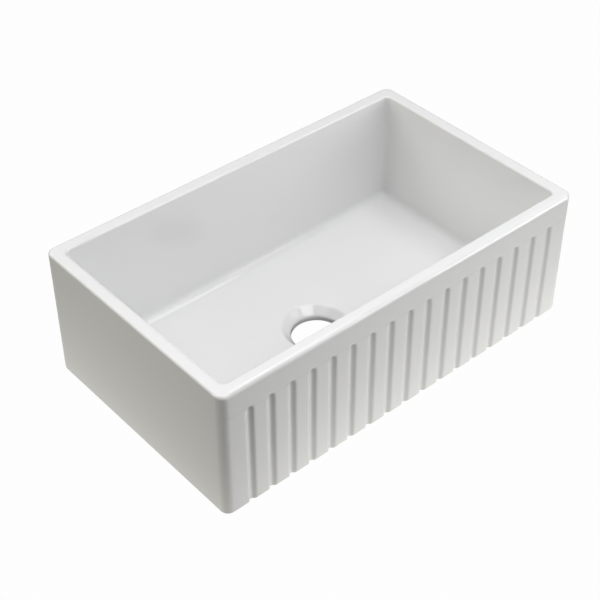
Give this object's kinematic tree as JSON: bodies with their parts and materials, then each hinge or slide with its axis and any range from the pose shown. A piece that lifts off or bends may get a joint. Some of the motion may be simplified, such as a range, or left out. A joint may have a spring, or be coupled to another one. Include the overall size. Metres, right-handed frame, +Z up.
{
  "type": "farmhouse apron front sink",
  "caption": "Single-bowl farmhouse sink in white glazed fireclay, with a fluted apron front, thick flat rim and a round dished drain opening.",
  "frame": {"origin": "middle of the flat underside", "axes": "+X along the sink's length, to the right as seen from the front; -Y out of the fluted apron; +Z up through the rim"},
  "size_m": [0.762, 0.457, 0.254],
  "materials": {
    "fireclay_glaze": "glossy white glaze"
  },
  "bodies": {
    "root": {"sink_basin": "fireclay_glaze"}
  },
  "joints": []
}
